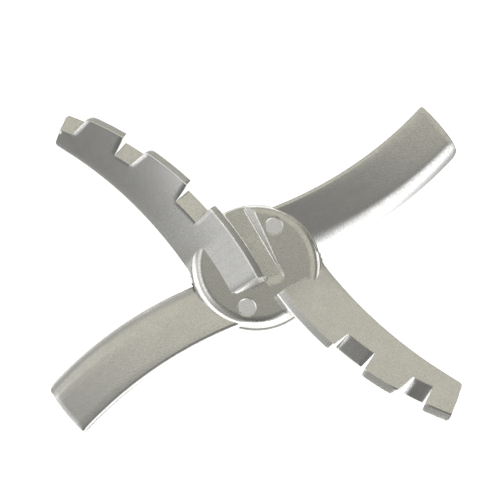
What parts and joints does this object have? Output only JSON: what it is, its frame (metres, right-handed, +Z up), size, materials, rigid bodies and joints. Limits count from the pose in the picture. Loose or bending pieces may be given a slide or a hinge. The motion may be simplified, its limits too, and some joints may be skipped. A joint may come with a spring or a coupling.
{
  "type": "rotary processor blade",
  "caption": "Four-arm steel blade for a food processor: toothed and smooth swept arms riveted on a hub that slides over the machine's drive shaft.",
  "frame": {"origin": "on the hub axis, level with the rest face at the mouth of the drive sleeve", "axes": "+Z up the hub axis towards the cap, +X and +Y in the plane of the blades, with the toothed arms towards -X +Y and +X -Y"},
  "size_m": [0.1366, 0.1138, 0.0327],
  "materials": {
    "satin_steel": "satin",
    "blade_steel": "satin polished",
    "rivet_steel": "satin",
    "spring_steel": "bright wire",
    "sleeve_plastic": "moulded",
    "button_plastic": "moulded",
    "bush_brass": "machined",
    "seal_rubber": "matt"
  },
  "bodies": {
    "root": {"hub_cap": "satin_steel", "toothed_arm_a": "blade_steel", "toothed_arm_b": "blade_steel", "smooth_blade": "blade_steel", "spacer_plate": "satin_steel", "hub_flange": "satin_steel", "drive_sleeve": "sleeve_plastic", "bore_bush": "bush_brass", "end_button": "button_plastic", "retaining_ring": "spring_steel", "shaft_seal": "seal_rubber", "rivet_a": "rivet_steel", "rivet_b": "rivet_steel"}
  },
  "joints": []
}
